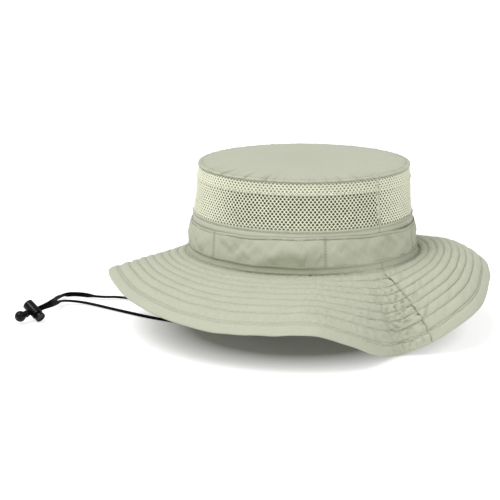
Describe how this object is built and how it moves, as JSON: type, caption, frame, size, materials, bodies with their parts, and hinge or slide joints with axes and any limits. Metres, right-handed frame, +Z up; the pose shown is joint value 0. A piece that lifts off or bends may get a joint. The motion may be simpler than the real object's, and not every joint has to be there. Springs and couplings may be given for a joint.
{
  "type": "boonie hat",
  "caption": "Wide-brimmed cloth sun hat with an oval crown, mesh side band, folded hatband, quilted wavy brim and a chin cord with a sprung cord lock and ball end.",
  "frame": {"origin": "on the surface the brim stands on, under the middle of the brim's outline", "axes": "+Z up through the tip, -Y to the front of the hat, +X to the wearer's left"},
  "size_m": [0.3136, 0.4187, 0.15],
  "materials": {
    "brim_cloth": "matte woven nylon",
    "mesh_cloth": "open knitted mesh",
    "seam_tape": "woven tape",
    "thread": "sewing thread",
    "sweat_cloth": "soft brushed cloth",
    "label_cloth": "satin tape, blank",
    "interlining": "non-woven",
    "cord": "braided cord",
    "lock_plastic": "moulded",
    "spring_steel": "wire"
  },
  "bodies": {
    "hat": {"crown_tip": "brim_cloth", "crown_wall_front": "brim_cloth", "crown_wall_back": "brim_cloth", "hatband": "brim_cloth", "brim_top_front": "brim_cloth", "brim_top_back": "brim_cloth", "brim_under_front": "brim_cloth", "brim_under_back": "brim_cloth", "mesh_panel_front": "mesh_cloth", "mesh_panel_back": "mesh_cloth", "tip_seam_tape": "seam_tape", "mesh_seam_tape": "seam_tape", "brim_seam_tape": "seam_tape", "band_tack_1": "thread", "band_tack_2": "thread", "band_tack_3": "thread", "band_tack_4": "thread", "band_tack_5": "thread", "band_tack_6": "thread", "sweatband": "sweat_cloth", "label": "label_cloth", "brim_interlining_front": "interlining", "brim_interlining_back": "interlining", "cord_tab_near": "cord", "cord_tab_far": "cord", "chin_cord_near": "cord", "chin_cord_far": "cord", "cord_sleeve": "cord", "cord_ball": "lock_plastic"},
    "lock": {"lock_barrel": "lock_plastic", "lock_spring": "spring_steel"},
    "button": {"lock_button": "lock_plastic"}
  },
  "joints": [
    {"name": "lock_slide", "type": "slide", "parent": "hat", "child": "lock", "axis": [-0.6573, 0.7382, 0.1517], "range_m": [0, 0.003]},
    {"name": "button_press", "type": "slide", "parent": "lock", "child": "button", "axis": [-0.6117, -0.6401, 0.4649], "range_m": [0, 0.002], "stiffness_N_per_m": 400, "springref_m": -0.002, "deforming": ["lock_spring"]}
  ]
}
